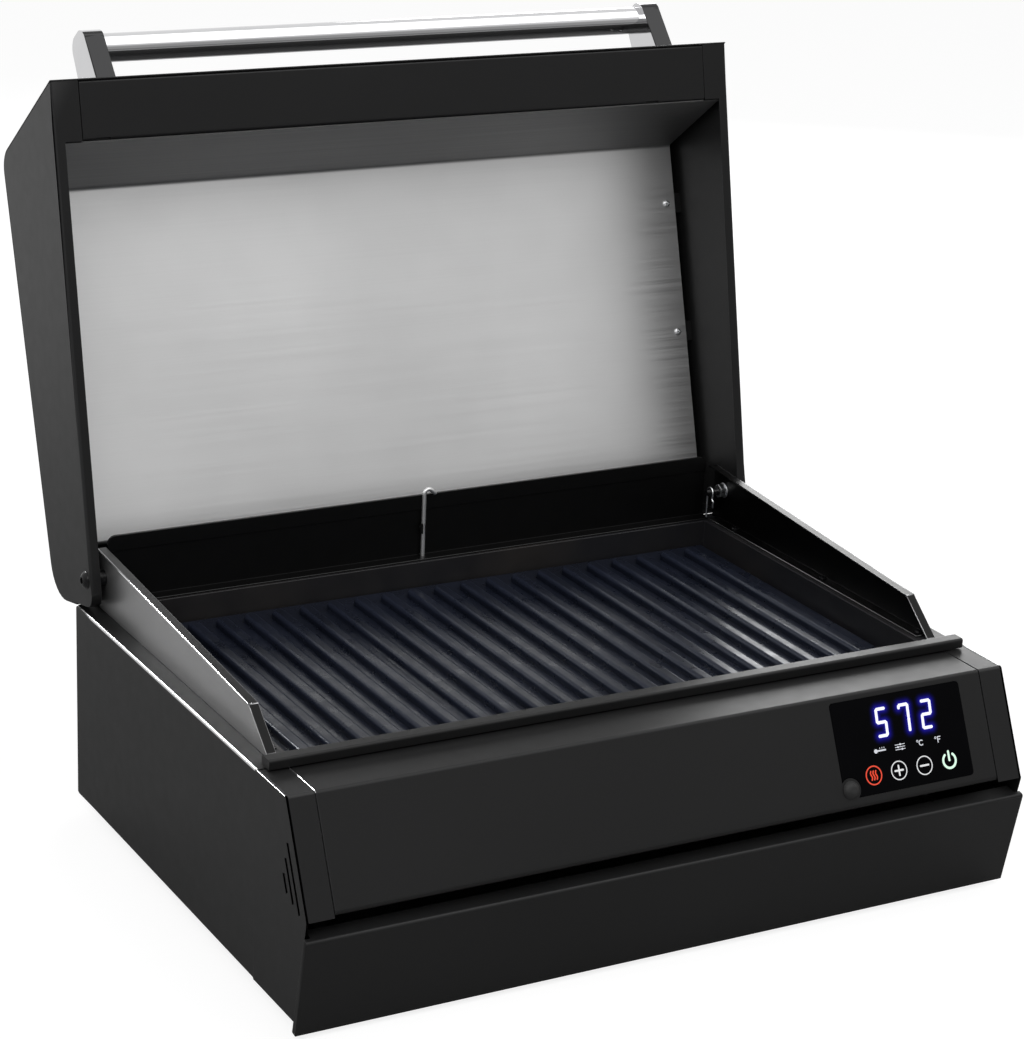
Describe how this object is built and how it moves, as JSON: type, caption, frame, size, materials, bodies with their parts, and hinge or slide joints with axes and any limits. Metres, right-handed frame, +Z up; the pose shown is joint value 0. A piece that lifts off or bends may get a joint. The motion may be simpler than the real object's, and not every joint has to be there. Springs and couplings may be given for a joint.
{
  "type": "electric grill",
  "caption": "Countertop electric grill: folded steel base with a slanted touch-control fascia, ridged plate, pull-out grease tray and a deep hinged lid with a tube handle.",
  "frame": {"origin": "on the counter, below the middle of the grill's box with the lid open", "axes": "+X to the right along the hinge axis, +Y to the back, +Z up"},
  "size_m": [0.568, 0.5472, 0.5649],
  "materials": {
    "black_powder": "satin black powder coat",
    "grey_powder": "satin dark grey powder coat",
    "enamel": "glossy blue-black enamel",
    "dark_steel": "dark heat-proof coat",
    "sheet_steel": "plain sheet steel",
    "brushed_liner": "brushed stainless steel",
    "zinc": "bright zinc plate",
    "polished_chrome": "polished chrome",
    "black_oxide": "black domed bolt",
    "black_rubber": "matt black rubber",
    "black_glass": "glossy back-printed black glass",
    "black_plastic": "matt black plastic",
    "circuit_board": "green circuit board",
    "ceramic": "matt ceramic",
    "brass": "plain brass"
  },
  "bodies": {
    "base": {"left_side": "black_powder", "right_side": "black_powder", "rear_panel": "black_powder", "bottom_pan": "black_powder", "feet": "black_rubber", "body_screws": "black_powder", "left_corner_strip": "black_powder", "right_corner_strip": "black_powder", "front_fascia": "black_powder", "trim_rail": "black_powder", "left_guard": "grey_powder", "right_guard": "grey_powder", "rear_guard": "black_powder", "guard_screws": "zinc", "chamber_tub": "dark_steel", "heat_reflector": "sheet_steel", "heating_element": "dark_steel", "element_brackets": "sheet_steel", "element_bushings": "ceramic", "plate_rails": "dark_steel", "temperature_probe": "brushed_liner", "probe_clip": "sheet_steel", "thermal_cutout": "ceramic", "heat_shield": "sheet_steel", "power_board": "circuit_board", "board_standoffs": "brass", "wiring_loom": "black_plastic", "loom_clips": "black_plastic", "display_housing": "black_plastic", "display_board": "circuit_board", "touch_glass": "black_glass", "probe_socket": "black_plastic", "power_inlet": "black_plastic", "inlet_pins": "brass", "tray_runners": "sheet_steel", "hinge_bolts": "black_oxide", "hinge_spacers": "zinc", "hinge_washers": "zinc", "hinge_nuts": "zinc", "hairpin_clips": "zinc"},
    "lid": {"lid_shell": "black_powder", "lid_left_side": "black_powder", "lid_right_side": "black_powder", "lid_front_flange": "black_powder", "lid_liner": "brushed_liner", "liner_brackets": "black_powder", "liner_screws": "zinc", "lid_rivets": "black_powder", "handle_tube": "polished_chrome", "left_handle_post": "polished_chrome", "right_handle_post": "polished_chrome", "handle_screws": "zinc"},
    "tray": {"grease_tray": "sheet_steel", "drawer_front": "black_powder"},
    "plate": {"grill_plate": "enamel"},
    "plug": {"probe_plug": "black_rubber"}
  },
  "joints": [
    {"name": "lid_hinge", "type": "hinge", "parent": "base", "child": "lid", "pos_m": [0, 0.11098, 0.1883], "axis": [1, 0, 0], "range_deg": [0, 103.2]},
    {"name": "tray_slide", "type": "slide", "parent": "base", "child": "tray", "axis": [0, -1, 0], "range_m": [0, 0.3]},
    {"name": "plate_lift", "type": "slide", "parent": "base", "child": "plate", "axis": [0, 0, 1], "range_m": [0, 0.06]},
    {"name": "plug_pull", "type": "slide", "parent": "base", "child": "plug", "axis": [0, -0.9065, 0.4222], "range_m": [0, 0.014]}
  ]
}
